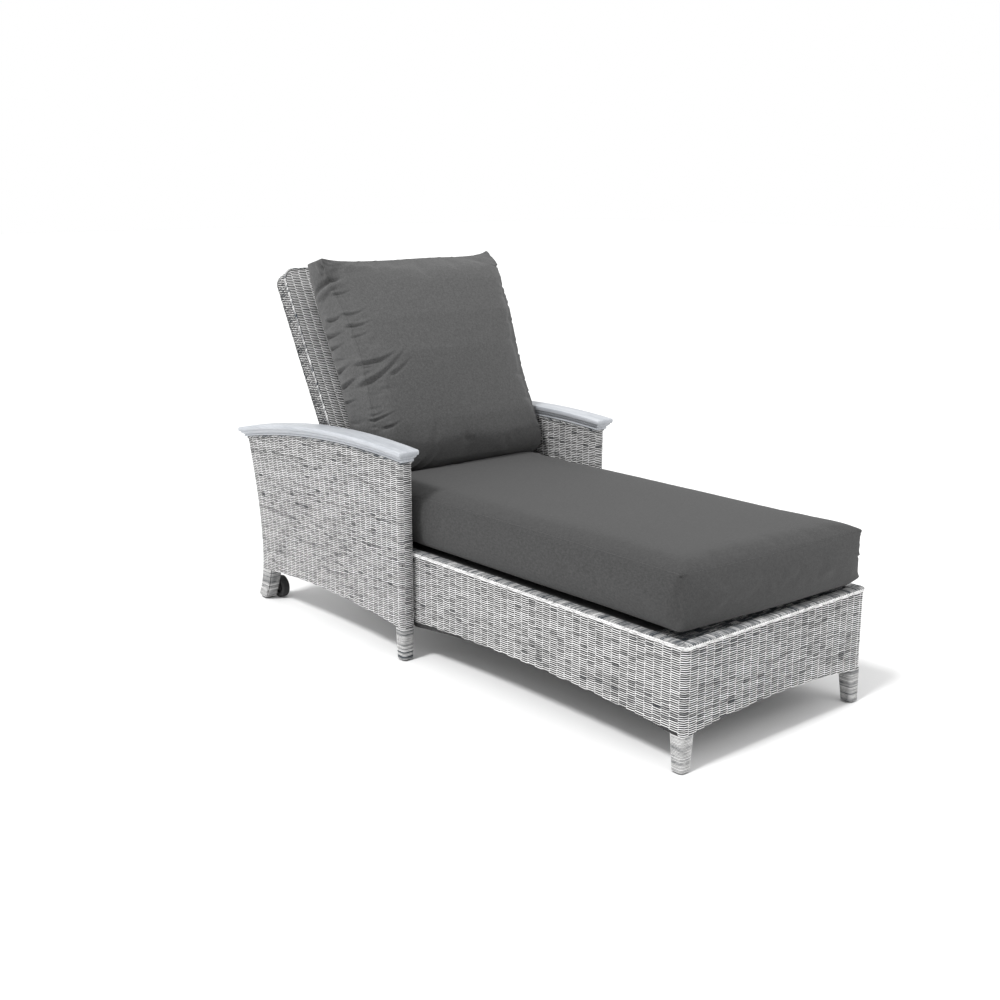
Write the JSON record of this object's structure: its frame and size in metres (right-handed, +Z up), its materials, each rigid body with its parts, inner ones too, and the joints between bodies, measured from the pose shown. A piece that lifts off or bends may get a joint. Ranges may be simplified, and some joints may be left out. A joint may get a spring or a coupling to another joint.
{
  "type": "reclining sun lounger",
  "caption": "Woven resin sun lounger with arms, a reclining back held by a prop bar on notched racks, rear wheels, a boxed seat cushion and a plump back cushion.",
  "frame": {"origin": "on the floor, at the centre of the object's footprint with the back at its upright rest", "axes": "+Z up, +Y towards the head end and the back, +X to the sitter's left; the foot end is at -Y"},
  "size_m": [0.772, 1.745, 1.0403],
  "materials": {
    "woven_resin": "flat woven resin strand, variegated white, light grey and mid grey",
    "limed_cap": "limed grey-white, satin, faint grain",
    "cushion_fabric": "woven outdoor fabric, dark grey",
    "tyre_rubber": "matte black",
    "black_plastic": "moulded, matte black",
    "zinc_steel": "zinc plated",
    "painted_steel": "powder coated grey",
    "painted_tube": "powder coated grey"
  },
  "bodies": {
    "base": {"arm_bolts": "zinc_steel", "arm_spacers": "woven_resin", "cap_screws": "zinc_steel", "foot_arch_rail": "painted_tube", "foot_rail": "woven_resin", "foot_weave": "woven_resin", "hinge_brackets": "painted_steel", "hinge_pins": "zinc_steel", "hinge_rail": "painted_tube", "left_arm_arch_rail": "painted_tube", "left_arm_cap": "limed_cap", "left_arm_front_leg": "woven_resin", "left_arm_inner_weave": "woven_resin", "left_arm_outer_weave": "woven_resin", "left_arm_rear_leg": "woven_resin", "left_arm_top_rail": "painted_tube", "left_base_arch_rail": "painted_tube", "left_base_weave": "woven_resin", "left_foot_leg": "woven_resin", "left_lower_rail": "painted_tube", "left_rack": "painted_steel", "left_seat_rail": "woven_resin", "leg_glides": "black_plastic", "rack_cross_bars": "painted_tube", "rear_uprights": "painted_tube", "right_arm_arch_rail": "painted_tube", "right_arm_cap": "limed_cap", "right_arm_front_leg": "woven_resin", "right_arm_inner_weave": "woven_resin", "right_arm_outer_weave": "woven_resin", "right_arm_rear_leg": "woven_resin", "right_arm_top_rail": "painted_tube", "right_base_arch_rail": "painted_tube", "right_base_weave": "woven_resin", "right_foot_leg": "woven_resin", "right_lower_rail": "painted_tube", "right_rack": "painted_steel", "right_seat_rail": "woven_resin", "seat_cross_bars": "painted_tube", "seat_cushion": "cushion_fabric", "seat_deck_weave": "woven_resin", "wheel_axles": "zinc_steel"},
    "left_wheel": {"left_wheel_hub": "black_plastic", "left_wheel_tyre": "tyre_rubber"},
    "right_wheel": {"right_wheel_hub": "black_plastic", "right_wheel_tyre": "tyre_rubber"},
    "backrest": {"back_bottom_rail": "painted_tube", "back_cross_bars": "painted_tube", "back_cushion": "cushion_fabric", "back_front_weave": "woven_resin", "back_rear_weave": "woven_resin", "back_top_rail": "painted_tube", "hinge_knuckles": "painted_steel", "left_back_stile": "painted_tube", "prop_brackets": "painted_steel", "prop_pins": "zinc_steel", "right_back_stile": "painted_tube"},
    "prop_bar": {"prop_arms": "painted_steel", "prop_foot_rod": "painted_steel"}
  },
  "joints": [
    {"name": "backrest_hinge", "type": "hinge", "parent": "base", "child": "backrest", "pos_m": [0, 0.3425, 0.27], "axis": [-1, 0, 0], "range_deg": [0, 62]},
    {"name": "prop_pivot", "type": "hinge", "parent": "backrest", "child": "prop_bar", "pos_m": [0, 0.47221, 0.42875], "axis": [1, 0, 0], "range_deg": [0, 124]},
    {"name": "left_wheel_spin", "type": "hinge", "parent": "base", "child": "left_wheel", "pos_m": [-0.317, 0.7725, 0.033], "axis": [1, 0, 0], "continuous": true},
    {"name": "right_wheel_spin", "type": "hinge", "parent": "base", "child": "right_wheel", "pos_m": [0.317, 0.7725, 0.033], "axis": [1, 0, 0], "continuous": true}
  ],
  "couplings": [
    {"joint": "prop_pivot", "follows": "backrest_hinge", "ratio": 2}
  ]
}
